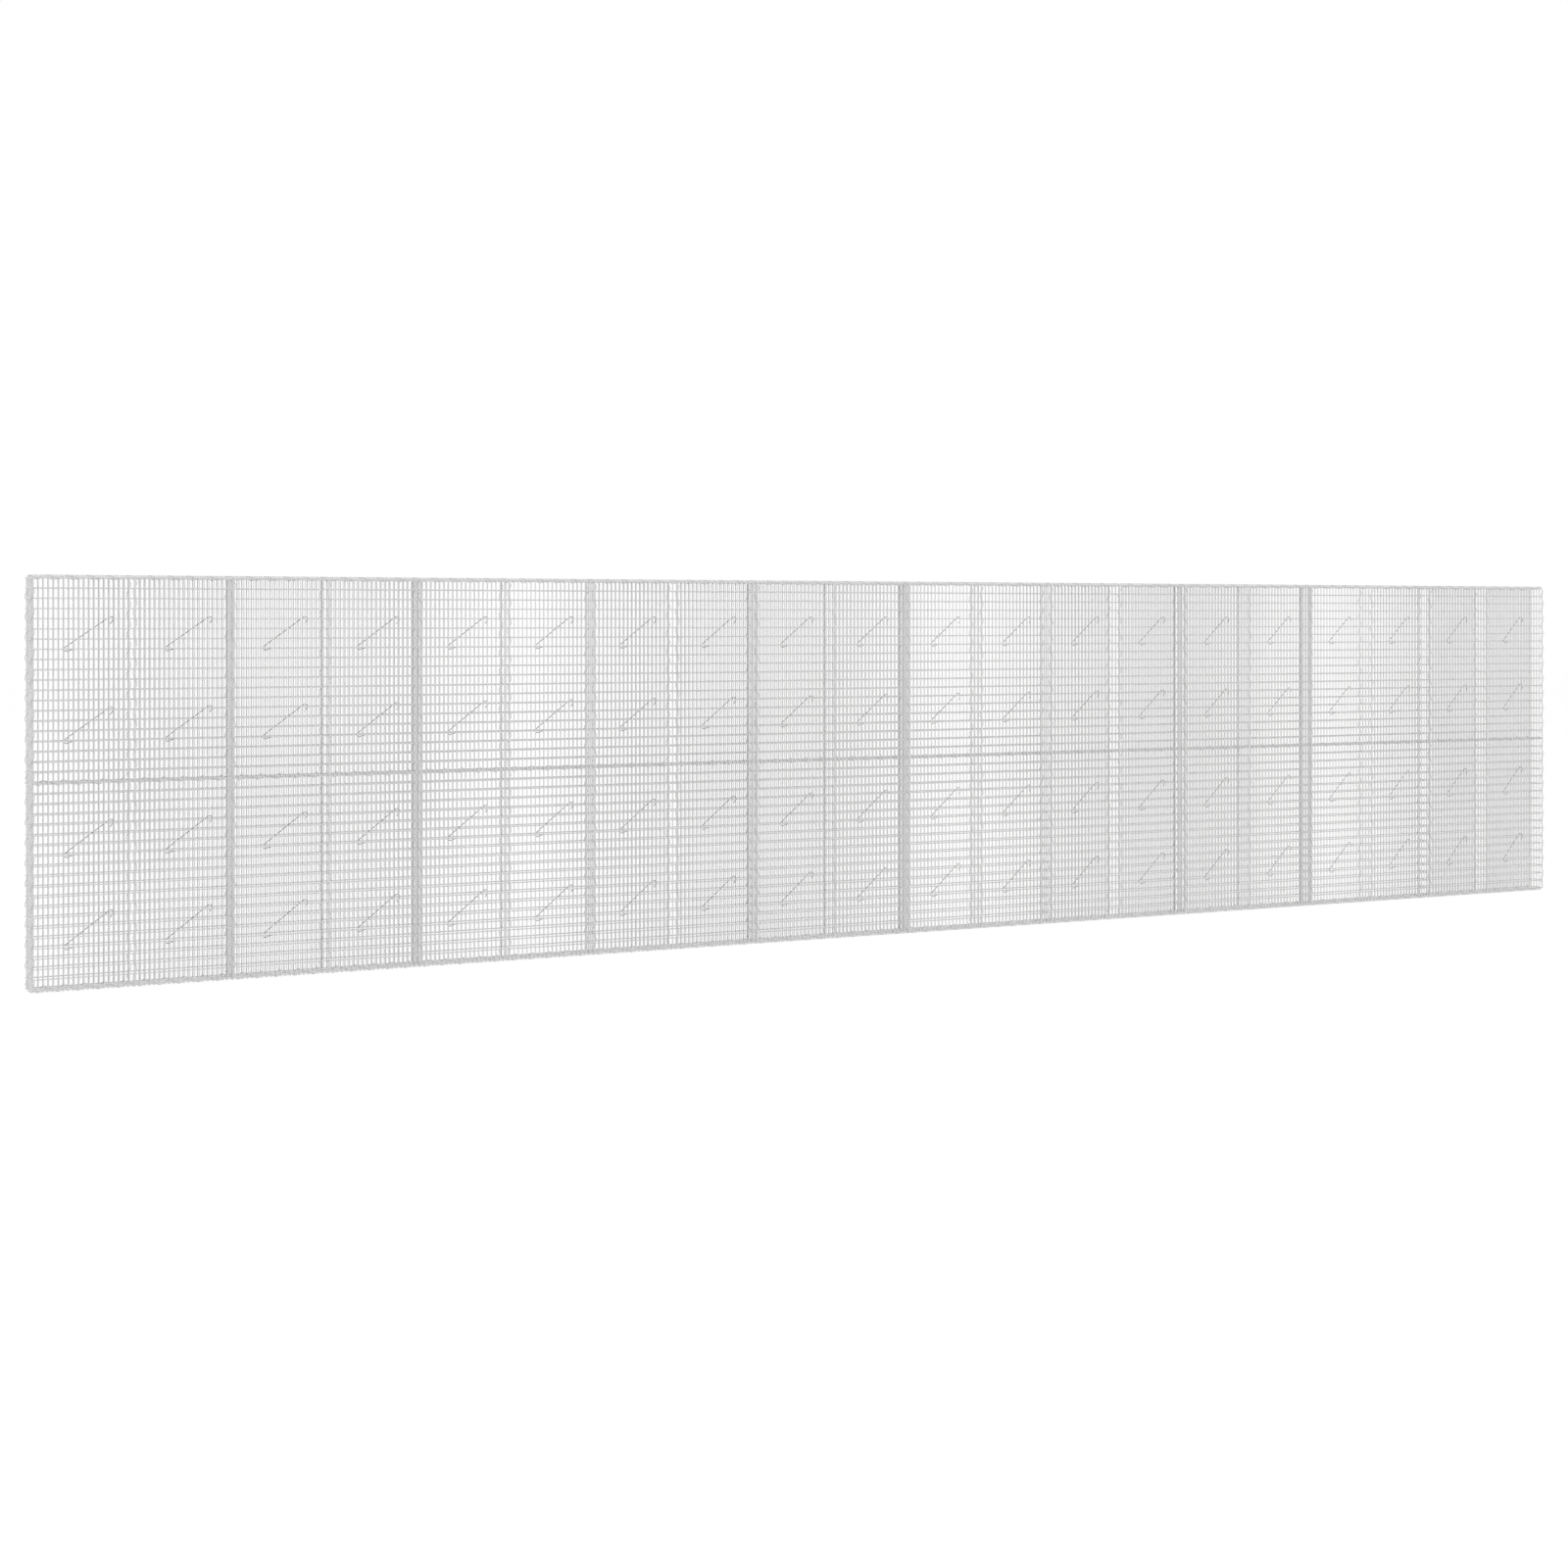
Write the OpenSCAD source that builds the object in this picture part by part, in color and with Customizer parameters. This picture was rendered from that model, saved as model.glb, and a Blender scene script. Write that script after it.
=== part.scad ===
// Free-standing gabion fence, empty: a shallow cage of welded wire panels, half a metre wide and
// one metre tall, that runs on in bays and stands two tiers high. Cross panels part it into cells
// two bays long, spiral binders lace each panel to its neighbours, and slanting tie hooks hold the
// front and back faces together against the stone.
// X runs along the fence, Y from front to back, Z up. The origin is the centre of the footprint.

/* [Bays] */
// Number of bays along the fence
bays = 20; // [1:1:24]
// Bays in one cell, from one cross panel to the next
cell_bays = 2; // [1:1:4]
// Number of tiers, one panel high each
tiers = 2; // [1:1:3]
// Width of a face panel, between the centres of its edge uprights
panel_w = 500; // [400:50:800]
// Height of a face panel, between the centres of its edge cross wires
panel_h = 1000; // [700:50:1200]
// Depth of the cage, between the upright wires of the front and back faces
cage_depth = 110; // [90:5:300]

/* [Mesh] */
// Thickness of the panel wires
mesh_wire = 6; // [3:0.5:8]
// How far crossing wires are pressed into each other where they are welded
weld_sink = 0.2; // [0.1:0.1:0.6]
// Pitch of the uprights in the finished mesh
mesh_pitch_x = 25; // [20:5:50]
// Pitch of the cross wires in the finished mesh
mesh_pitch_z = 50; // [40:5:100]
// Mesh spaces from one modelled upright to the next
upright_every = 5; // [4:1:10]
// Rows of the finished mesh left between a panel's edge and the nearer end of a tie hook
tie_edge_rows = 4; // [2:1:5]
// Rows of the finished mesh that a tie hook climbs
tie_climb_rows = 3; // [2:1:4]

/* [Joints] */
// Clearance between the edge wires of two panels in a flat joint
joint_play = 0.5; // [0.5:0.5:10]
// Clearance between the edge wires of two panels at a corner of the cage, along each axis
corner_play = 0.3; // [0.2:0.1:2]
// Clearance between a cross panel and the cross wires of the faces
cross_play = 0.3; // [0.1:0.1:0.6]

/* [Spiral binders] */
// Thickness of the binder wire
binder_wire = 2.5; // [2:0.5:2.5]
// Clearance between a binder and the wires inside it
binder_play = 0.3; // [0.2:0.1:0.6]
// Mesh rows that one turn of a binder climbs in a joint between two bays
binder_turn_rows = 4; // [2:2:4]
// Mesh rows that one turn of a binder climbs at the corners of the cage
corner_turn_rows = 2; // [1:1:2]
// Modelled uprights that one turn of a binder passes along a lying edge
binder_turn_uprights = 2; // [1:1:2]
// Length of panel edge left free at each end of a binder
binder_inset = 14; // [14:1:40]

/* [Tie hooks] */
// Thickness of the tie wire
tie_wire = 4; // [2:0.5:4]
// Clearance between a hook and the wire it holds
tie_play = 0.3; // [0.2:0.1:0.6]
// Mesh spaces from a panel's left edge to the space that holds the front end of its tie hook
tie_first_space = 6; // [1:1:12]
// Mesh spaces that a tie hook runs along the fence
tie_run_spaces = 10; // [6:1:12]

/* [Hidden] */
upright_count = max(1, round(panel_w / (mesh_pitch_x * upright_every)));
upright_pitch = panel_w / upright_count;
mesh_rows = round(panel_h / mesh_pitch_z);
mesh_spaces = round(panel_w / mesh_pitch_x);
row_pitch = panel_h / mesh_rows;
space_pitch = panel_w / mesh_spaces;
// Cross wires that are modelled: both edges of a panel, and those that the tie hooks hold
tie_rows = [tie_edge_rows, mesh_rows - tie_edge_rows - tie_climb_rows];
front_rows = [0, each tie_rows, mesh_rows];
back_rows = [0, for (row = tie_rows) row + tie_climb_rows, mesh_rows];
end_rows = [0, for (row = tie_rows) each [row, row + tie_climb_rows], mesh_rows];
cross_rows = binder_turn_rows * [1, floor((mesh_rows - 1) / binder_turn_rows)];
layer = mesh_wire - weld_sink;
// Distance between the middles of two edge wires in a flat joint, and along each axis at a corner
joint_gap = mesh_wire + joint_play;
corner = mesh_wire + corner_play;
bay_pitch = panel_w + joint_gap;
tier_pitch = panel_h + joint_gap;
fence_w = bays * bay_pitch - joint_gap;
face_y = cage_depth / 2;
cross_y = face_y - layer;
base_z = corner + layer + mesh_wire / 2;
top_z = base_z + tiers * tier_pitch - joint_gap;
end_x = fence_w / 2;
// Radius of a binder whose two wires lie square to it, and of one in a corner
flat_binder_r = joint_gap / 2 + mesh_wire + binder_wire + binder_play;
corner_binder_r = (corner + mesh_wire) / sqrt(2) + binder_wire + binder_play;
// Distance from the middle of the cage to the edge uprights of a cross panel, which stand behind
// the edge wires of the faces. A binder that takes in all three wires is wider and sits deeper.
cross_edge_y = cross_y - mesh_wire - cross_play;
cell_binder_in = (face_y - cross_edge_y - joint_gap / 2) / 2;
cell_binder_r = flat_binder_r + cell_binder_in;
hook_r = mesh_wire / sqrt(2) + tie_play + tie_wire / 2;
cells = ceil(bays / cell_bays);

function bay_x(bay) = -end_x + bay * bay_pitch;
function tier_z(tier) = base_z + tier * tier_pitch;

// One square bar between two corners of its box
module bar(from, to) {
    translate(from) cube(to - from);
}

// Welded mesh standing in the XZ plane: uprights at y = 0, cross wires one layer further along +Y
module mesh_panel(uprights, rows, width, height) {
    half = mesh_wire / 2;
    union() {
        for (x = uprights) bar([x - half, -half, -half], [x + half, half, height + half]);
        for (z = rows) bar([-half, layer - half, z - half], [width + half, layer + half, z + half]);
    }
}

// Face panels of one cell, all tiers, with the uprights in the plane of the front face
module face_panels(cell, rows) {
    first = cell * cell_bays;
    last = min(first + cell_bays, bays) - 1;
    for (bay = [first:last], tier = [0:tiers - 1]) translate([bay_x(bay), -face_y, tier_z(tier)])
        mesh_panel([for (i = [0:upright_count]) i * upright_pitch], rows * row_pitch, panel_w, panel_h);
}

module front_panels(cell) {
    color("gainsboro") face_panels(cell, front_rows);
}

module back_panels(cell) {
    color("gainsboro") mirror([0, 1, 0]) face_panels(cell, back_rows);
}

// Upright mesh across one end of the cage, its cross wires on the outside
module end_panels(side) {
    width = cage_depth - 2 * corner;
    color("silver") for (tier = [0:tiers - 1])
        scale([side, 1, 1]) translate([end_x + corner, -width / 2, tier_z(tier)]) rotate([0, 0, 90])
            mirror([0, 1, 0]) mesh_panel([0, width / 2, width], end_rows * row_pitch, width, panel_h);
}

// Upright mesh across the cage in the joint between two cells. It ends half a wire short of the
// face panels at top and bottom, to leave room for the floor and the lid.
module cross_panels() {
    short = mesh_wire / 2;
    height = panel_h - 2 * short;
    rows = [0, for (row = cross_rows) row * row_pitch - short, height];
    color("silver") for (cell = [1:1:cells - 1], tier = [0:tiers - 1])
        translate([bay_x(cell * cell_bays) - joint_gap / 2, -cross_edge_y, tier_z(tier) + short])
            rotate([0, 0, 90])
                mesh_panel([0, cross_edge_y, 2 * cross_edge_y], rows, 2 * cross_edge_y, height);
}

// Flat mesh that closes one bay: two wires along the fence and three bars across, one layer outside
module bay_cover() {
    half = mesh_wire / 2;
    edge = cross_y - corner;
    union() {
        for (y = [-edge, edge]) bar([-half, y - half, -half], [panel_w + half, y + half, half]);
        for (x = [0, panel_w / 2, panel_w])
            bar([x - half, -edge - half, layer - half], [x + half, edge + half, layer + half]);
    }
}

module lid_panels() {
    color("silver") for (bay = [0:bays - 1]) translate([bay_x(bay), 0, top_z + corner]) bay_cover();
}

module floor_panels() {
    color("silver") for (bay = [0:bays - 1])
        translate([bay_x(bay), 0, base_z - corner]) mirror([0, 0, 1]) bay_cover();
}

// Flat strip that swings from side to side in the XZ plane, once each half pitch, from z = start on
module swinging_strip(radius, half_pitch, start, count, first) {
    function swing(k) = (k % 2 == 0 ? first : -first) * radius;
    right = [for (k = [0:count]) [swing(k) + binder_wire / 2, start + k * half_pitch]];
    left = [for (k = [count:-1:0]) [swing(k) - binder_wire / 2, start + k * half_pitch]];
    reach = 2 * radius + binder_wire;
    rotate([90, 0, 0]) translate([0, 0, -reach / 2]) linear_extrude(reach) polygon(concat(right, left));
}

// Four-sided spiral along +Z from z = from to z = to. Its front view and its side view are both
// swinging strips, a quarter pitch apart, and the spiral is what the two strips have in common.
// At z = 0 and at every whole pitch it passes furthest along -Y, and half a pitch on furthest along +Y.
module spiral(radius, pitch, from, to) {
    half = pitch / 2;
    turns = ceil(2 * to / pitch) + 2;
    box = radius + binder_wire;
    intersection() {
        swinging_strip(radius, half, -0.75 * pitch, turns + 2, 1);
        rotate([0, 0, 90]) swinging_strip(radius, half, -pitch, turns + 2, -1);
        translate([-box, -box, from]) cube([2 * box, 2 * box, to - from]);
    }
}

// Binder that stands in an upright joint, turned about its own axis to face the wires inside it.
// lead is how much lower than its place by the rows each turn comes.
module upright_binder(radius, turn_rows, turn, lead) {
    for (tier = [0:tiers - 1]) translate([0, 0, tier_z(tier) - lead]) rotate([0, 0, turn])
        spiral(radius, turn_rows * row_pitch, binder_inset + lead, panel_h - binder_inset + lead);
}

// Binders of every bay that lie along the fence, with +Y of the spiral turned about X
module lying_binders(radius, turn) {
    for (bay = [0:bays - 1]) translate([bay_x(bay), 0, 0]) rotate([turn, 0, 0]) rotate([90, 0, 90])
        spiral(radius, binder_turn_uprights * upright_pitch, binder_inset, panel_w - binder_inset);
}

// Binders between the bays. Where two cells meet they lead by an eighth of a turn, so that they
// pass each cross wire halfway from one side of the joint to the other.
module front_upright_binders() {
    cell_lead = binder_turn_rows * row_pitch / 8;
    color("darkgray") for (bay = [1:1:bays - 1]) translate([bay_x(bay) - joint_gap / 2, -face_y, 0])
        if (bay % cell_bays == 0)
            translate([0, cell_binder_in, 0])
                upright_binder(cell_binder_r, binder_turn_rows, 0, cell_lead);
        else
            upright_binder(flat_binder_r, binder_turn_rows, 0, 0);
}

module back_upright_binders() {
    color("darkgray") mirror([0, 1, 0]) front_upright_binders();
}

// Corner binders lead by half a wire, so that each turn clears the cross wires inside the corner
module corner_binders() {
    color("darkgray") for (side_x = [-1, 1], side_y = [-1, 1]) scale([side_x, side_y, 1])
        translate([end_x + corner / 2, face_y - corner / 2, 0])
            upright_binder(corner_binder_r, corner_turn_rows, 135, mesh_wire / 2);
}

module front_middle_binders() {
    color("darkgray") for (tier = [1:1:tiers - 1])
        translate([0, -cross_y, tier_z(tier) - joint_gap / 2]) lying_binders(flat_binder_r, -90);
}

module front_top_binders() {
    color("darkgray") translate([0, -cross_y + corner / 2, top_z + corner / 2])
        lying_binders(corner_binder_r, -135);
}

module front_bottom_binders() {
    color("darkgray") translate([0, -cross_y + corner / 2, base_z - corner / 2])
        lying_binders(corner_binder_r, -45);
}

// Three quarters of a turn of tie wire round a cross wire, open on the inside below the rod
module hook_ring() {
    outer_r = hook_r + tie_wire / 2;
    rotate([90, 0, 90]) translate([0, 0, -tie_wire / 2]) linear_extrude(tie_wire) difference() {
        circle(outer_r, $fn = 32);
        circle(hook_r - tie_wire / 2, $fn = 32);
        translate([0, -2 * outer_r]) square(2 * outer_r);
    }
}

// Slanting rod between two points, with a ring at each end round the cross wire behind it
module tie_hook(from, to) {
    run = to - from;
    length = norm(run);
    union() {
        translate(from) rotate([0, acos(run.z / length), atan2(run.y, run.x)])
            translate([-tie_wire / 2, -tie_wire / 2, 0]) cube([tie_wire, tie_wire, length]);
        translate(from - [0, hook_r, 0]) hook_ring();
        translate(to + [0, hook_r, 0]) rotate([180, 0, 0]) hook_ring();
    }
}

// One row of tie hooks along the whole fence, each climbing from the front face to the back one
module tie_hooks(tier, row) {
    low = tier_z(tier) + tie_rows[row] * row_pitch;
    high = low + tie_climb_rows * row_pitch;
    reach = cross_y - hook_r;
    color("gray") for (bay = [0:bays - 1]) {
        start = bay_x(bay) + (tie_first_space + 0.5) * space_pitch;
        tie_hook([start, -reach, low], [start + tie_run_spaces * space_pitch, reach, high]);
    }
}

for (cell = [1:cells]) {
    front_panels(cell - 1);
    back_panels(cell - 1);
}
end_panels(-1);  // left_end_panels
end_panels(1);  // right_end_panels
cross_panels();
floor_panels();
lid_panels();
front_upright_binders();
back_upright_binders();
corner_binders();
front_bottom_binders();
front_middle_binders();
front_top_binders();
mirror([0, 1, 0]) front_bottom_binders();  // back_bottom_binders
mirror([0, 1, 0]) front_middle_binders();  // back_middle_binders
mirror([0, 1, 0]) front_top_binders();  // back_top_binders
for (tier = [1:tiers], row = [1:2])
    tie_hooks(tier - 1, row - 1);
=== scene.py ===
"""Finish of the gabion fence: the full welded mesh, its spiral binders and its tie hooks."""

import math
from types import SimpleNamespace

import bmesh
import bpy
from mathutils import Matrix, Vector


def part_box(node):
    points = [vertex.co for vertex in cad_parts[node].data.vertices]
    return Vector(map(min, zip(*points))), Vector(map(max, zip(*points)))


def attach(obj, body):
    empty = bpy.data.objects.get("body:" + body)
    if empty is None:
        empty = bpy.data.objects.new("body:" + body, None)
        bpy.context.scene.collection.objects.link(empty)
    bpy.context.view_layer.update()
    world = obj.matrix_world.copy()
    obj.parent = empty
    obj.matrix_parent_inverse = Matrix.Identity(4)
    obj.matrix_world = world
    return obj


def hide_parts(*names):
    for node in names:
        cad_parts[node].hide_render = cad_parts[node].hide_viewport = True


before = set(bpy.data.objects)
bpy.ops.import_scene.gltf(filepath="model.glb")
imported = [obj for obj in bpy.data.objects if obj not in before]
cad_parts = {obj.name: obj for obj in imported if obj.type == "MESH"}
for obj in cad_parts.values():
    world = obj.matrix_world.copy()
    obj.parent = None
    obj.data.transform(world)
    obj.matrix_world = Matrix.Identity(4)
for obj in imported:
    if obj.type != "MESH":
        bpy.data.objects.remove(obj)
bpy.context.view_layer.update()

bl_info = {
    "name": "Gabion fence finish",
    "version": (1, 0, 0),
    "blender": (4, 5, 0),
    "location": "View3D > Sidebar > Gabion",
    "description": "Lays the welded mesh, winds the binders and bends the tie hooks of a gabion fence",
    "category": "Add Mesh",
}

# Lengths are in metres and angles in radians, apart from those that say otherwise

# Sides of a mesh or tie wire and of the thinner binder wire: enough to read as round, few enough for
# thousands of wires
WIRE_SIDES = 8
COIL_SIDES = 6

# Steps in one turn of a binder
COIL_STEPS = 12

# How far from each cut end of a straight wire its ring lies
END_RING = 0.0005

# How far the binders where two cells meet lead the mesh rows, in turns
CELL_LEAD = 1 / 8

# How far the ends of a tie hook bend back, and about how much of that one step of the bend takes
HOOK_BEND = math.radians(165)
BEND_STEP = 0.4

# How much of its brightness zinc keeps where it has dulled
DULL_ZINC = 0.9

# How much of that dulling the crystals of zinc bring at most, and how much the wide patches
CRYSTAL_DULLING = 0.8
PATCH_DULLING = 0.2

# Width of those patches, and between which values of their pattern they fade in
PATCH_WIDTH = 0.35
PATCH_FADE = (0.35, 0.65)

# Width and depth of the ripples that the zinc bath leaves
RIPPLE_WIDTH = 0.0012
RIPPLE_DEPTH = 0.0001

# How much smoother than its mean the zinc is where it is bright, and how much rougher where it is dull
SMOOTHER = 0.08
ROUGHER = 0.1

# How far the studio floor reaches each way
FLOOR_REACH = 60

# The part of the floor's white that is its own and the part that light gives, as the camera sees it
FLOOR_GLOW = 0.79
FLOOR_GREY = 0.25

# Strength of the white surround as a light
SURROUND_LIGHT = 0.82

# What both lamps point at: the middle of the fence
FENCE_MIDDLE = (0, 0, 1)

# How far the camera is turned to the right of straight ahead, in degrees
CAMERA_TURN = 28.21


def linear(hex_colour):
    """Scene linear red, green and blue of an sRGB hex colour."""
    parts = [int(hex_colour[i : i + 2], 16) / 255 for i in (1, 3, 5)]
    return tuple(c / 12.92 if c <= 0.04045 else ((c + 0.055) / 1.055) ** 2.4 for c in parts)


def length(name, description, default, smallest=0.0):
    """A length in metres for the sidebar."""
    return bpy.props.FloatProperty(
        name=name, description=description, default=default, min=smallest, unit="LENGTH", precision=4
    )


def colour(name, description, hex_colour):
    """A colour for the sidebar."""
    return bpy.props.FloatVectorProperty(
        name=name, description=description, default=linear(hex_colour), subtype="COLOR", min=0, max=1
    )


class GabionMeshSizes(bpy.types.PropertyGroup):
    """Sizes of the welded panels."""

    panel_width: length("Panel width", "Between the edge uprights of a face panel", 0.5)
    panel_height: length("Panel height", "Between the edge cross wires of a face panel", 1.0)
    joint_gap: length("Joint gap", "Between the edge wires of two panels laced together", 0.0065)
    wire: length("Mesh wire", "Thickness of the mesh wires", 0.006)
    pitch_along: length("Pitch along", "From one upright to the next", 0.025, 0.01)
    pitch_up: length("Pitch up", "From one cross wire to the next", 0.05, 0.01)
    wires_deep: bpy.props.IntProperty(
        name="Wires deep", description="Wires across the depth of the cage", default=5, min=2
    )


class GabionLacingSizes(bpy.types.PropertyGroup):
    """Sizes of the spiral binders and the tie hooks."""

    binder_wire: length("Binder wire", "Thickness of the binder wire", 0.0025)
    binder_pitch: length("Binder pitch", "Rise of a binder in one turn", 0.1, 0.02)
    binder_inset: length("Binder inset", "Panel edge left free at each end of a binder", 0.014)
    play: length("Play", "Clearance between a binder or hook and the wires it holds", 0.0003)
    tie_wire: length("Tie wire", "Thickness of the tie hooks", 0.004)
    tie_hook: length("Tie hook", "Radius of the bend at each end of a tie hook", 0.012)
    tie_leg: length("Tie leg", "Straight end of a tie hook after its bend", 0.03)


class GabionFinish(bpy.types.PropertyGroup):
    """Colours of the wires and the stage."""

    face_zinc: colour("Face zinc", "Zinc on the face panels", "#E4E4E4")
    # The small panels' zinc is painted light: drawn lighter than the face zinc to offset the shade that
    # the wires cast inside the cage
    small_zinc_painted_light: colour("Small panel zinc", "Fresher zinc on the end, cross and cover panels", "#F2F2F2")
    binder_zinc: colour("Binder zinc", "Drawn zinc coat of the binders", "#CACACA")
    tie_zinc: colour("Tie zinc", "Zinc of the tie hooks", "#969696")
    floor: colour("Floor", "Studio floor", "#F4F4F4")


def cage():
    """Places in the cage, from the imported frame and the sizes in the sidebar."""
    sizes = bpy.context.scene.gabion_mesh
    low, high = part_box("front_panels_1")
    half = sizes.wire / 2
    c = SimpleNamespace(wire=sizes.wire, half=half)
    c.left, c.face_y = low.x + half, -low.y - half
    c.cross_y = -high.y + half
    c.layer = c.face_y - c.cross_y
    c.base_z, c.top_z = low.z + half, high.z - half
    c.bay_pitch = sizes.panel_width + sizes.joint_gap
    c.tier_pitch = sizes.panel_height + sizes.joint_gap
    c.bays = round((-2 * c.left + sizes.joint_gap) / c.bay_pitch)
    c.tiers = round((c.top_z - c.base_z + sizes.joint_gap) / c.tier_pitch)
    c.cell_bays = round((high.x - half + sizes.joint_gap - c.left) / c.bay_pitch)
    c.cells = math.ceil(c.bays / c.cell_bays)
    c.corner = -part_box("left_end_panels")[0].x - c.layer - half + c.left
    c.gap = sizes.joint_gap
    c.width, c.height = sizes.panel_width, sizes.panel_height
    c.across = [i * sizes.pitch_along for i in range(round(c.width / sizes.pitch_along) + 1)]
    c.rows = [i * sizes.pitch_up for i in range(round(c.height / sizes.pitch_up) + 1)]
    c.bay_x = [c.left + bay * c.bay_pitch for bay in range(c.bays)]
    c.tier_z = [c.base_z + tier * c.tier_pitch for tier in range(c.tiers)]
    return c


def spread(low, high, count):
    """So many places, evenly from low to high."""
    return [low + (high - low) * i / (count - 1) for i in range(count)]


def only(kind, geometry):
    """The parts of one kind among what an operator made."""
    return [part for part in geometry if isinstance(part, kind)]


def aimed(place, heading):
    """The matrix that brings the origin to place and +Z round to heading."""
    return Matrix.Translation(place) @ heading.to_track_quat("Z", "Y").to_matrix().to_4x4()


def straight_wire(bm, start, end, wire):
    """Adds a round wire from start to end. A ring just short of each cut end keeps the end's flat face
    out of the smooth shading of the long sides."""
    start, end = Vector(start), Vector(end)
    run = end - start
    middle = bmesh.ops.create_cone(
        bm,
        cap_ends=True,
        segments=WIRE_SIDES,
        radius1=wire / 2,
        radius2=wire / 2,
        depth=run.length - 2 * END_RING,
        matrix=aimed((start + end) / 2, run),
    )
    faces = dict.fromkeys(face for vert in middle["verts"] for face in vert.link_faces)
    cuts = [face for face in faces if len(face.verts) == WIRE_SIDES]
    for cut in bmesh.ops.extrude_discrete_faces(bm, faces=cuts)["faces"]:
        cut.normal_update()
        bmesh.ops.translate(bm, vec=cut.normal * END_RING, verts=cut.verts)


def copies(bm, moves):
    """Leaves a copy of what bm holds at each of moves."""
    first = bm.verts[:] + bm.edges[:] + bm.faces[:]
    for move in moves[1:]:
        made = bmesh.ops.duplicate(bm, geom=first)["geom"]
        bmesh.ops.translate(bm, vec=move, verts=only(bmesh.types.BMVert, made))
    bmesh.ops.translate(bm, vec=moves[0], verts=only(bmesh.types.BMVert, first))


def join_wires(bm, other):
    """Moves what other holds into bm."""
    mesh = bpy.data.meshes.new("part")
    other.to_mesh(mesh)
    other.free()
    bm.from_mesh(mesh)
    bpy.data.meshes.remove(mesh)


def finished_piece(bm, name, material, nodes):
    """Makes bm the piece called name, which stands for the CAD nodes."""
    bmesh.ops.recalc_face_normals(bm, faces=bm.faces[:])
    for face in bm.faces:
        face.smooth = len(face.verts) == 4
    mesh = bpy.data.meshes.new(name)
    bm.to_mesh(mesh)
    bm.free()
    mesh.materials.append(material)
    piece = bpy.data.objects.new(name, mesh)
    bpy.context.scene.collection.objects.link(piece)
    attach(piece, "root")
    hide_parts(*nodes)


# Materials


def add_node(tree, kind, inputs, **settings):
    """Adds a node with its settings. Each input is a value, or a socket to link from."""
    node = tree.nodes.new(kind)
    for name, value in settings.items():
        setattr(node, name, value)
    for name, value in inputs.items():
        if isinstance(value, bpy.types.NodeSocket):
            tree.links.new(value, node.inputs[name])
        else:
            node.inputs[name].default_value = value
    return node


def new_material(name):
    """An empty node material with its output, or the one already made."""
    material = bpy.data.materials.get(name)
    if material:
        return material, None
    material = bpy.data.materials.new(name)
    material.use_nodes = True
    material.node_tree.nodes.clear()
    return material, material.node_tree


def zinc_coat(name, zinc, spangle, roughness):
    """Zinc-coated steel wire. Crystals of zinc spangle, 4 to 9 mm wide, make its grey a little uneven
    from place to place, patches 350 mm wide have begun to dull, and ripples 1.2 mm wide and 0.1 mm
    deep, left by the bath, soften the gloss."""
    material, tree = new_material(name)
    if tree is None:
        return material
    dull = [part * DULL_ZINC for part in zinc]
    place = add_node(tree, "ShaderNodeTexCoord", {}).outputs["Object"]
    crystals = add_node(
        tree, "ShaderNodeTexVoronoi", {"Vector": place, "Scale": 1 / spangle}, feature="F1"
    )
    patches = add_node(
        tree, "ShaderNodeTexNoise", {"Vector": place, "Scale": 1 / PATCH_WIDTH, "Detail": 3.0}
    )
    ripples = add_node(
        tree, "ShaderNodeTexNoise", {"Vector": place, "Scale": 1 / RIPPLE_WIDTH, "Detail": 2.0}
    )
    crystal_tone = add_node(
        tree, "ShaderNodeMapRange", {"Value": crystals.outputs["Color"], "To Max": CRYSTAL_DULLING}
    )
    fade_low, fade_high = PATCH_FADE
    dulling = add_node(
        tree,
        "ShaderNodeMapRange",
        {
            "Value": patches.outputs["Fac"],
            "From Min": fade_low,
            "From Max": fade_high,
            "To Max": PATCH_DULLING,
        },
    )
    tone = add_node(
        tree,
        "ShaderNodeMath",
        {0: crystal_tone.outputs["Result"], 1: dulling.outputs["Result"]},
        operation="ADD",
        use_clamp=True,
    )
    grey = add_node(
        tree,
        "ShaderNodeMix",
        {"Factor": tone.outputs[0], 6: (*zinc, 1), 7: (*dull, 1)},
        data_type="RGBA",
    )
    gloss = add_node(
        tree,
        "ShaderNodeMapRange",
        {"Value": tone.outputs[0], "To Min": roughness - SMOOTHER, "To Max": roughness + ROUGHER},
    )
    relief = add_node(
        tree,
        "ShaderNodeBump",
        {"Height": ripples.outputs["Fac"], "Strength": 0.3, "Distance": RIPPLE_DEPTH},
    )
    surface = add_node(
        tree,
        "ShaderNodeBsdfPrincipled",
        {
            "Base Color": grey.outputs[2],
            "Metallic": 0.8,
            "Roughness": gloss.outputs["Result"],
            "Normal": relief.outputs["Normal"],
        },
    )
    add_node(tree, "ShaderNodeOutputMaterial", {"Surface": surface.outputs["BSDF"]})
    return material


def face_zinc():
    """Hot-dip galvanised steel, matt, with a medium spangle."""
    finish = bpy.context.scene.gabion_finish
    return zinc_coat("hot_dip_galvanised_mesh", finish.face_zinc, 0.009, 0.5)


def small_zinc_painted_light():
    """The same mesh zinc in the small panels, painted lighter than the face zinc to offset the shade that
    the wires cast on one another inside the cage.
    """
    finish = bpy.context.scene.gabion_finish
    return zinc_coat("hot_dip_galvanised_mesh_painted_light", finish.small_zinc_painted_light, 0.009, 0.5)


def binder_zinc():
    """Galvanised spring wire, drawn after its zinc bath, so smoother and with a finer grain. Its grey is
    darker than the mesh zinc.
    """
    finish = bpy.context.scene.gabion_finish
    return zinc_coat("drawn_galvanised_wire", finish.binder_zinc, 0.004, 0.4)


def tie_zinc():
    """Galvanised tie wire, the darkest of the zinc greys."""
    finish = bpy.context.scene.gabion_finish
    return zinc_coat("bent_galvanised_wire", finish.tie_zinc, 0.006, 0.45)


# Welded mesh


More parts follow.
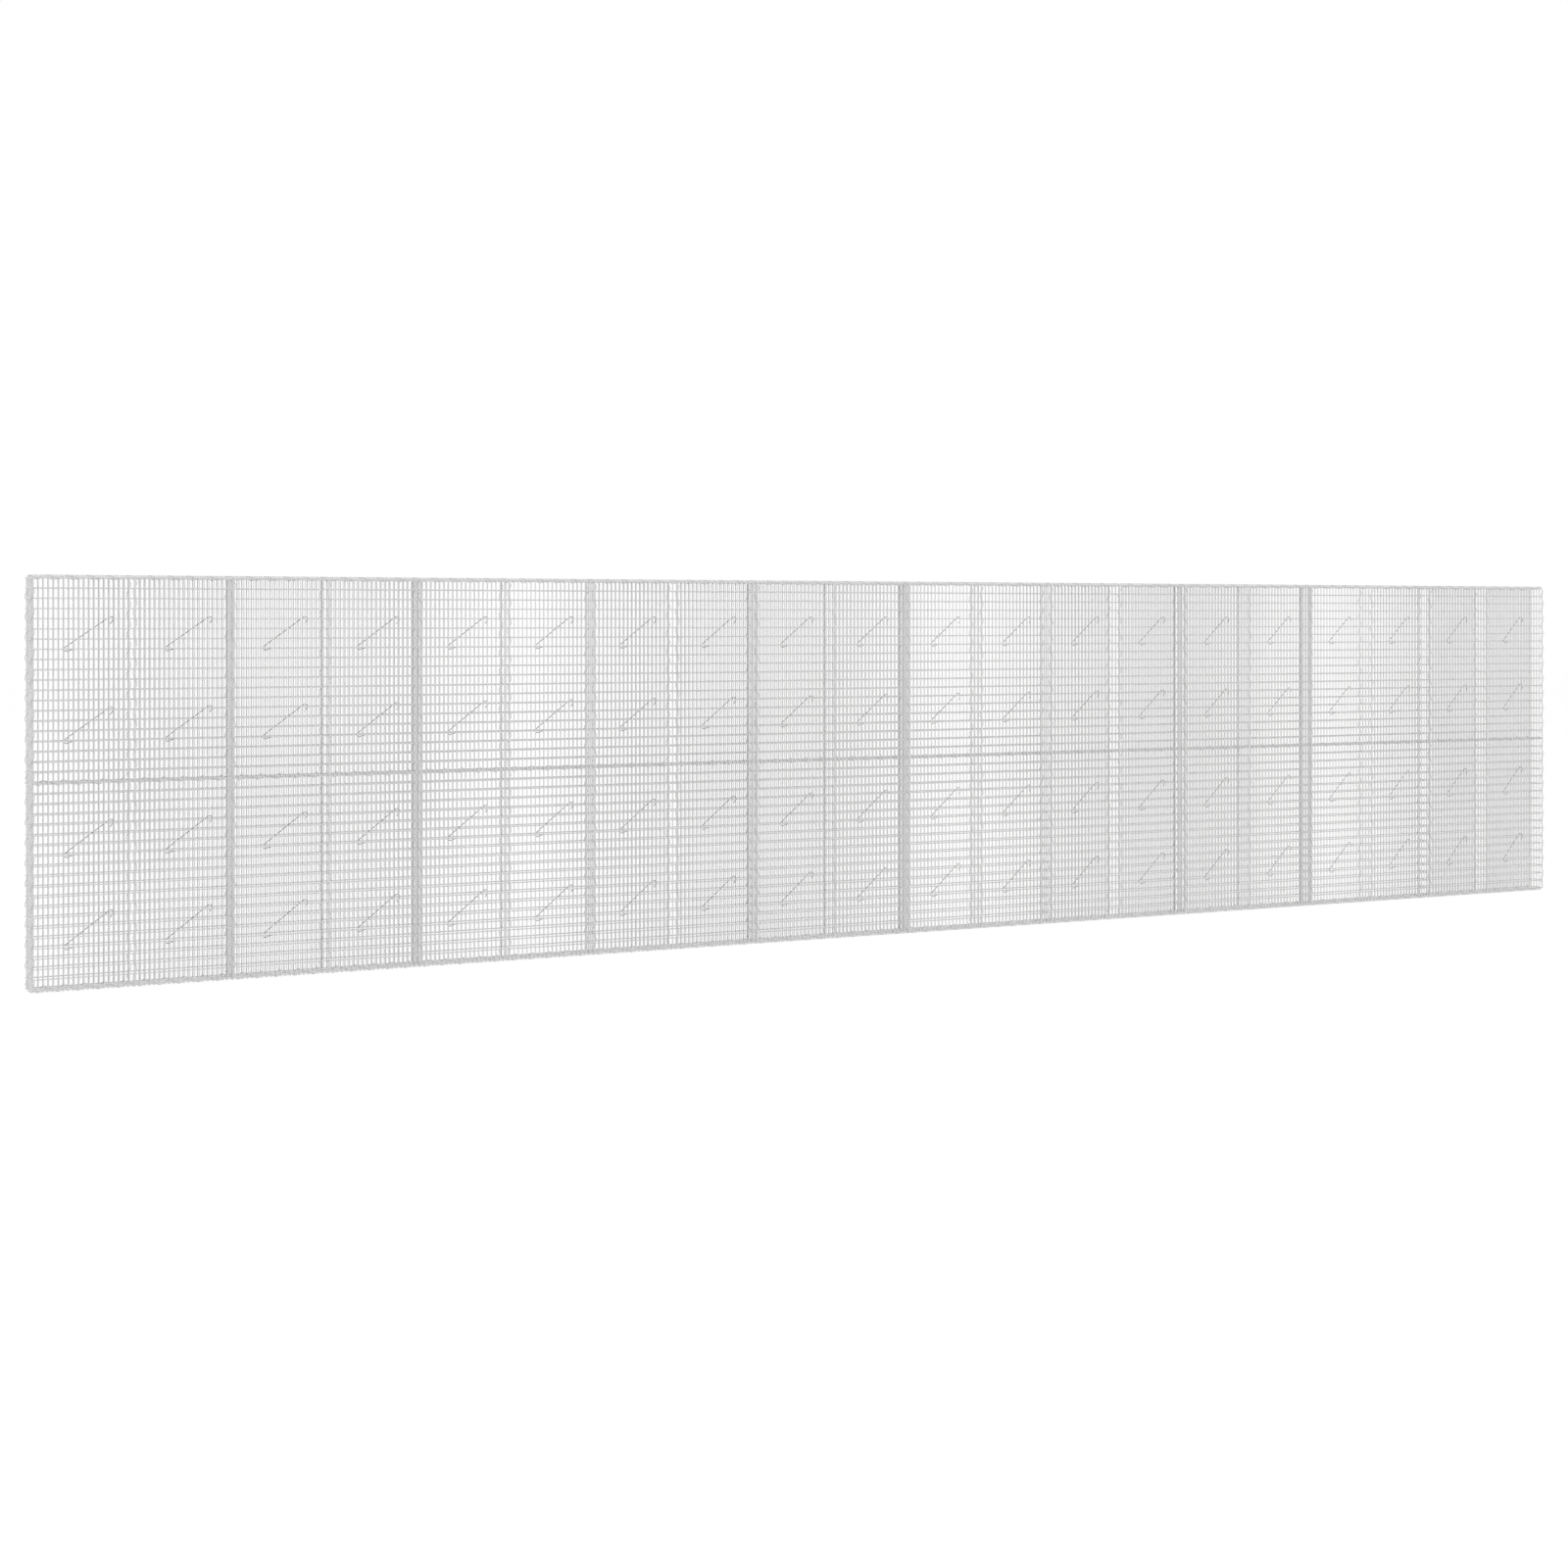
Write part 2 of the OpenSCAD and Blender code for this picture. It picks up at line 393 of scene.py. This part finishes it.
def face_mesh(side, node, first):
    """Makes the face panels of one cell, all tiers, from its first bay on. side is -1 for the front and
    1 for the back."""
    c = cage()
    bm = bmesh.new()
    for x in c.across:
        straight_wire(bm, (x, side * c.face_y, -c.half), (x, side * c.face_y, c.height + c.half), c.wire)
    for z in c.rows:
        straight_wire(bm, (-c.half, side * c.cross_y, z), (c.width + c.half, side * c.cross_y, z), c.wire)
    copies(bm, [(x, 0, z) for x in c.bay_x[first : first + c.cell_bays] for z in c.tier_z])
    finished_piece(bm, f"{node}_mesh", face_zinc(), [node])


class GABION_OT_lay_faces(bpy.types.Operator):
    """Lay the welded mesh of the front and back faces, cell by cell"""

    bl_idname = "gabion.lay_faces"
    bl_label = "Lay face panels"

    def execute(self, context):
        c = cage()
        for cell in range(c.cells):
            for side, face in ((-1, "front"), (1, "back")):
                face_mesh(side, f"{face}_panels_{cell + 1}", cell * c.cell_bays)
        return {"FINISHED"}


def upright_mesh(bm, uprights_x, rows_x, edge_y, low, high, rows):
    """Adds mesh that stands across the cage, its uprights at one place in X and its cross wires at
    another."""
    c = cage()
    for y in spread(-edge_y, edge_y, bpy.context.scene.gabion_mesh.wires_deep):
        straight_wire(bm, (uprights_x, y, low - c.half), (uprights_x, y, high + c.half), c.wire)
    for z in rows:
        straight_wire(bm, (rows_x, -edge_y - c.half, z), (rows_x, edge_y + c.half, z), c.wire)


class GABION_OT_lay_ends(bpy.types.Operator):
    """Lay the welded mesh that closes the two ends of the cage"""

    bl_idname = "gabion.lay_ends"
    bl_label = "Lay end panels"

    def execute(self, context):
        c = cage()
        for side, name in ((-1, "left"), (1, "right")):
            node = f"{name}_end_panels"
            bm = bmesh.new()
            x = side * (-c.left + c.corner)
            upright_mesh(bm, x, x + side * c.layer, c.face_y - c.corner, 0, c.height, c.rows)
            copies(bm, [(0, 0, z) for z in c.tier_z])
            finished_piece(bm, f"{node}_mesh", small_zinc_painted_light(), [node])
        return {"FINISHED"}


class GABION_OT_lay_cross_panels(bpy.types.Operator):
    """Lay the welded mesh that parts the cage into cells"""

    bl_idname = "gabion.lay_cross_panels"
    bl_label = "Lay cross panels"

    def execute(self, context):
        c = cage()
        edge_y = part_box("cross_panels")[1].y - c.half
        bm = bmesh.new()
        rows = [c.half, *c.rows[1:-1], c.height - c.half]
        upright_mesh(bm, 0, -c.layer, edge_y, c.half, c.height - c.half, rows)
        joints = [x - c.gap / 2 for x in c.bay_x[c.cell_bays :: c.cell_bays]]
        copies(bm, [(x, 0, z) for x in joints for z in c.tier_z])
        finished_piece(bm, "cross_panels_mesh", small_zinc_painted_light(), ["cross_panels"])
        return {"FINISHED"}


class GABION_OT_lay_covers(bpy.types.Operator):
    """Lay the flat mesh of the floor and the lid"""

    bl_idname = "gabion.lay_covers"
    bl_label = "Lay floor and lid"

    def execute(self, context):
        c = cage()
        edge = c.cross_y - c.corner
        for side, z, name in ((-1, c.base_z, "floor"), (1, c.top_z, "lid")):
            z += side * c.corner
            bm = bmesh.new()
            for y in spread(-edge, edge, context.scene.gabion_mesh.wires_deep):
                straight_wire(bm, (-c.half, y, z), (c.width + c.half, y, z), c.wire)
            bars_z = z + side * c.layer
            for x in c.across:
                straight_wire(bm, (x, -edge - c.half, bars_z), (x, edge + c.half, bars_z), c.wire)
            copies(bm, [(x, 0, 0) for x in c.bay_x])
            finished_piece(bm, f"{name}_mesh", small_zinc_painted_light(), [f"{name}_panels"])
        return {"FINISHED"}


# Spiral binders


def coil(radius, pitch, low, high, phase, winding):
    """A round coil up +Z from low to high. It passes furthest along -Y where z / pitch + phase is
    whole, and turns left for a winding of -1 and right for 1 as it climbs."""
    wire = bpy.context.scene.gabion_lacing.binder_wire
    bm = bmesh.new()
    tangent = Vector((winding * 2 * math.pi * radius, 0, pitch)).normalized()
    place = aimed((0, -radius, low), tangent)
    bmesh.ops.create_circle(bm, cap_ends=True, segments=COIL_SIDES, radius=wire / 2, matrix=place)
    turns = (high - low) / pitch
    steps = round(turns * COIL_STEPS)
    start = Matrix.Rotation(winding * 2 * math.pi * (low / pitch + phase), 4, "Z")
    bmesh.ops.transform(bm, matrix=start, verts=bm.verts[:])
    bmesh.ops.spin(
        bm,
        geom=bm.faces[:] + bm.edges[:] + bm.verts[:],
        axis=(0, 0, 1),
        cent=(0, 0, 0),
        dvec=(0, 0, (high - low) / steps),
        angle=winding * 2 * math.pi * turns,
        steps=steps,
    )
    return bm


def snug_radius(reach):
    """Radius of a coil round wires that reach so far from its middle."""
    lacing = bpy.context.scene.gabion_lacing
    return reach + lacing.binder_wire / 2 + lacing.play


def flat_radius(c):
    """Radius of a coil in a flat joint, where it passes behind the ends of the cross wires."""
    return snug_radius(c.layer + c.half)


def corner_radius(c):
    """Radius of a coil at a corner of the cage, which passes the cross wires inside the corner."""
    return snug_radius(c.layer - c.corner / 2 + c.half) * math.sqrt(2)


class GABION_OT_wind_upright_binders(bpy.types.Operator):
    """Wind the binders in the upright joints of both faces and at the corners"""

    bl_idname = "gabion.wind_upright_binders"
    bl_label = "Wind upright binders"

    def execute(self, context):
        c = cage()
        lacing = context.scene.gabion_lacing
        pitch, low, high = lacing.binder_pitch, lacing.binder_inset, c.height - lacing.binder_inset
        # Where two cells meet, the coil takes in the edge of the cross panel too. Its middle lies as
        # far from that wire as from the two in the face.
        apart = c.face_y - (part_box("cross_panels")[1].y - c.half)
        inward = (apart**2 - (c.gap / 2) ** 2) / (2 * apart)
        cell_radius = snug_radius(apart - inward + c.half)
        joints = {bay: x - c.gap / 2 for bay, x in enumerate(c.bay_x) if bay}
        meeting = [x for bay, x in joints.items() if bay % c.cell_bays == 0]
        others = [x for bay, x in joints.items() if bay % c.cell_bays]
        for side, face in ((-1, "front"), (1, "back")):
            bm = coil(cell_radius, pitch, low, high, CELL_LEAD, -1)
            bmesh.ops.scale(bm, vec=(1, -side, 1), verts=bm.verts[:])
            copies(bm, [(x, side * (c.face_y - inward), z) for x in meeting for z in c.tier_z])
            plain = coil(flat_radius(c), pitch, low, high, 0, -1)
            bmesh.ops.scale(plain, vec=(1, -side, 1), verts=plain.verts[:])
            copies(plain, [(x, side * c.face_y, z) for x in others for z in c.tier_z])
            join_wires(bm, plain)
            node = f"{face}_upright_binders"
            finished_piece(bm, f"{node}_coils", binder_zinc(), [node])
        self.wind_corners(c, pitch, low, high)
        return {"FINISHED"}

    def wind_corners(self, c, pitch, low, high):
        """Winds the binders of the four corners, furthest outwards at every second row."""
        bm = bmesh.new()
        for side_x in (-1, 1):
            for side_y in (-1, 1):
                one = coil(corner_radius(c), pitch, low, high, 0, 1)
                outward = Matrix.Rotation(math.atan2(side_y, side_x) + math.pi / 2, 3, "Z")
                bmesh.ops.rotate(one, cent=(0, 0, 0), matrix=outward, verts=one.verts[:])
                x = side_x * (-c.left + c.corner / 2)
                copies(one, [(x, side_y * (c.face_y - c.corner / 2), z) for z in c.tier_z])
                join_wires(bm, one)
        finished_piece(bm, "corner_binders_coils", binder_zinc(), ["corner_binders"])


class GABION_OT_wind_lying_binders(bpy.types.Operator):
    """Wind the binders that lie along the bottom, the middle and the top of both faces"""

    bl_idname = "gabion.wind_lying_binders"
    bl_label = "Wind lying binders"

    def execute(self, context):
        c = cage()
        lacing = context.scene.gabion_lacing
        low, high = lacing.binder_inset, c.width - lacing.binder_inset
        # The tight coils, along the bottom and the top, still cut into nine mesh wires each
        tight = corner_radius(c)
        laid_down = Matrix.Rotation(math.pi / 2, 3, "Y")
        edges = {
            "bottom": (tight, -c.corner / 2, [c.base_z - c.corner / 2]),
            "middle": (flat_radius(c), 0, [z - c.gap / 2 for z in c.tier_z[1:]]),
            "top": (tight, -c.corner / 2, [c.top_z + c.corner / 2]),
        }
        for side, face in ((-1, "front"), (1, "back")):
            for edge, (radius, inward, heights) in edges.items():
                bm = coil(radius, lacing.binder_pitch, low, high, 0, 1)
                bmesh.ops.rotate(bm, cent=(0, 0, 0), matrix=laid_down, verts=bm.verts[:])
                bmesh.ops.scale(bm, vec=(1, -side, 1), verts=bm.verts[:])
                y = side * (c.cross_y + inward)
                copies(bm, [(x, y, z) for x in c.bay_x for z in heights])
                node = f"{face}_{edge}_binders"
                finished_piece(bm, f"{node}_coils", binder_zinc(), [node])
        return {"FINISHED"}


# Tie hooks


def bent_wire(bm, start, heading, wire, steps):
    """Adds a round wire made as on a bending bench: each step feeds it straight on by a length, then
    bends it about an axis by a radius and an angle."""
    tip, heading = Vector(start), Vector(heading).normalized()
    made = bmesh.ops.create_circle(
        bm, cap_ends=True, segments=WIRE_SIDES, radius=wire / 2, matrix=aimed(tip, heading)
    )
    rim = list({edge for vert in made["verts"] for edge in vert.link_edges})
    for feed, axis, radius, angle in steps:
        new = bmesh.ops.extrude_edge_only(bm, edges=rim)["geom"]
        rim = [edge for edge in only(bmesh.types.BMEdge, new) if len(edge.link_faces) == 1]
        tip = tip + heading * feed
        bmesh.ops.translate(bm, vec=heading * feed, verts=only(bmesh.types.BMVert, new))
        if angle:
            axis = Vector(axis).normalized()
            centre = tip + axis.cross(heading) * radius
            bends = round(angle / BEND_STEP)
            spun = bmesh.ops.spin(bm, geom=rim, axis=axis, cent=centre, angle=angle, steps=bends)
            rim = only(bmesh.types.BMEdge, spun["geom_last"])
            turn = Matrix.Rotation(angle, 3, axis)
            tip = centre + turn @ (tip - centre)
            heading = turn @ heading
    bmesh.ops.edgeloop_fill(bm, edges=rim)


class GABION_OT_bend_tie_hooks(bpy.types.Operator):
    """Bend the tie hooks that hold the front and back faces together"""

    bl_idname = "gabion.bend_tie_hooks"
    bl_label = "Bend tie hooks"

    def execute(self, context):
        c = cage()
        lacing = context.scene.gabion_lacing
        for tier in range(c.tiers):
            for row in (1, 2):
                node = f"tie_hooks_tier_{tier + 1}_row_{row}"
                low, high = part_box(node)
                ring = c.half * math.sqrt(2) + lacing.play + lacing.tie_wire
                run = high.x - low.x - (c.bays - 1) * c.bay_pitch - lacing.tie_wire
                start = Vector((low.x + lacing.tie_wire / 2, -c.cross_y, low.z + ring))
                end = Vector((start.x + run, c.cross_y, high.z - ring))
                bm = bmesh.new()
                self.tie(bm, start, end, lacing)
                copies(bm, [(bay * c.bay_pitch, 0, 0) for bay in range(c.bays)])
                finished_piece(bm, f"{node}_wires", tie_zinc(), [node])
        return {"FINISHED"}

    def tie(self, bm, start, end, lacing):
        """Adds one tie: a slanting rod whose two ends bend back as open hooks at the cross wires."""
        radius, leg = lacing.tie_hook, lacing.tie_leg
        rod = (end - start).length
        along = (end - start).normalized()
        # Both hooks bend in the plane of the rod and the fence's length. They still cut into the mesh,
        # each into one cross wire and two uprights
        plane = along.cross((1, 0, 0)).normalized()
        turned = Matrix.Rotation(-HOOK_BEND, 3, plane)
        tip = start - plane.cross(along) * radius
        first = start + turned @ (tip - start)
        heading = turned @ along
        bent_wire(
            bm,
            first - heading * leg,
            heading,
            lacing.tie_wire,
            [(leg, plane, radius, HOOK_BEND), (rod, plane, radius, HOOK_BEND), (leg, plane, 0, 0)],
        )


# Stage


class GABION_OT_set_stage(bpy.types.Operator):
    """Set the floor, the soft studio light and the camera"""

    bl_idname = "gabion.set_stage"
    bl_label = "Set stage"

    def execute(self, context):
        self.floor(context)
        self.world(context)
        self.lamps(context)
        self.camera(context)
        context.scene.view_settings.view_transform = "Standard"
        return {"FINISHED"}

    def floor(self, context):
        """A wide pale floor, white to the camera and to reflections, that keeps the shadow."""
        bm = bmesh.new()
        bmesh.ops.create_grid(bm, x_segments=1, y_segments=1, size=FLOOR_REACH)
        mesh = bpy.data.meshes.new("studio_floor")
        bm.to_mesh(mesh)
        bm.free()
        floor = bpy.data.objects.new("studio_floor", mesh)
        context.scene.collection.objects.link(floor)
        material, tree = new_material("painted_studio_floor")
        mesh.materials.append(material)
        pale = (*context.scene.gabion_finish.floor, 1)
        matt = add_node(tree, "ShaderNodeBsdfDiffuse", {"Color": pale})
        # Seen by the camera, part of the floor's white is its own, and the rest takes the shadow
        grey = (FLOOR_GREY, FLOOR_GREY, FLOOR_GREY, 1)
        faint = add_node(tree, "ShaderNodeBsdfDiffuse", {"Color": grey})
        glow = add_node(tree, "ShaderNodeEmission", {"Color": (1, 1, 1, 1), "Strength": FLOOR_GLOW})
        lit = add_node(tree, "ShaderNodeAddShader", {0: faint.outputs[0], 1: glow.outputs[0]})
        ray = add_node(tree, "ShaderNodeLightPath", {})
        seen = add_node(
            tree,
            "ShaderNodeMath",
            {0: ray.outputs["Is Camera Ray"], 1: ray.outputs["Is Glossy Ray"]},
            operation="MAXIMUM",
        )
        both = add_node(
            tree, "ShaderNodeMixShader", {0: seen.outputs[0], 1: matt.outputs[0], 2: lit.outputs[0]}
        )
        add_node(tree, "ShaderNodeOutputMaterial", {"Surface": both.outputs[0]})

    def world(self, context):
        """An even white surround."""
        world = bpy.data.worlds.new("white_surround")
        world.use_nodes = True
        tree = world.node_tree
        tree.nodes.clear()
        ray = add_node(tree, "ShaderNodeLightPath", {})
        pure = (1, 1, 1, 1)
        light = add_node(tree, "ShaderNodeBackground", {"Color": pure, "Strength": SURROUND_LIGHT})
        white = add_node(tree, "ShaderNodeBackground", {"Color": pure, "Strength": 1.0})
        both = add_node(
            tree,
            "ShaderNodeMixShader",
            {0: ray.outputs["Is Camera Ray"], 1: light.outputs[0], 2: white.outputs[0]},
        )
        add_node(tree, "ShaderNodeOutputWorld", {"Surface": both.outputs[0]})
        context.scene.world = world

    def lamps(self, context):
        """Two broad soft lamps, the main one high on the left in front."""
        for name, place, size, power in (
            ("main_softbox", (-6.0, -9.0, 9.0), 8.0, 400.0),
            ("fill_softbox", (8.0, -8.0, 5.0), 8.0, 160.0),
        ):
            lamp = bpy.data.lights.new(name, "AREA")
            lamp.size, lamp.energy = size, power
            holder = bpy.data.objects.new(name, lamp)
            holder.location = place
            aim = Vector(FENCE_MIDDLE) - Vector(place)
            holder.rotation_euler = aim.to_track_quat("-Z", "Y").to_euler()
            context.scene.collection.objects.link(holder)

    def camera(self, context):
        """A level camera to the left in front, at the height of a tall person's eyes."""
        lens = bpy.data.cameras.new("camera")
        lens.sensor_width, lens.lens = 36.0, 58.88
        lens.shift_x, lens.shift_y = 0.0625, -0.10525
        lens.clip_end = 200
        camera = bpy.data.objects.new("camera", lens)
        camera.location = (-8.153, -12.521, 1.82)
        camera.rotation_euler = (math.pi / 2, 0, -math.radians(CAMERA_TURN))
        context.scene.collection.objects.link(camera)
        context.scene.camera = camera


STEPS = (
    GABION_OT_lay_faces,
    GABION_OT_lay_ends,
    GABION_OT_lay_cross_panels,
    GABION_OT_lay_covers,
    GABION_OT_wind_upright_binders,
    GABION_OT_wind_lying_binders,
    GABION_OT_bend_tie_hooks,
    GABION_OT_set_stage,
)
GROUPS = {
    "gabion_mesh": GabionMeshSizes,
    "gabion_lacing": GabionLacingSizes,
    "gabion_finish": GabionFinish,
}


class GABION_PT_finish(bpy.types.Panel):
    """The steps that finish the fence, in order"""

    bl_label = "Gabion fence"
    bl_space_type = "VIEW_3D"
    bl_region_type = "UI"
    bl_category = "Gabion"

    def draw(self, context):
        for step in STEPS:
            self.layout.operator(step.bl_idname)
        for name, group in GROUPS.items():
            box = self.layout.box()
            for key in group.__annotations__:
                box.prop(getattr(context.scene, name), key)


def register():
    for cls in (*GROUPS.values(), *STEPS, GABION_PT_finish):
        bpy.utils.register_class(cls)
    for name, group in GROUPS.items():
        setattr(bpy.types.Scene, name, bpy.props.PointerProperty(type=group))


def unregister():
    for name in GROUPS:
        delattr(bpy.types.Scene, name)
    for cls in reversed((*GROUPS.values(), *STEPS, GABION_PT_finish)):
        bpy.utils.unregister_class(cls)


def main():
    register()
    for step in STEPS:
        area, name = step.bl_idname.split(".")
        getattr(getattr(bpy.ops, area), name)()


if __name__ == "__main__":
    main()
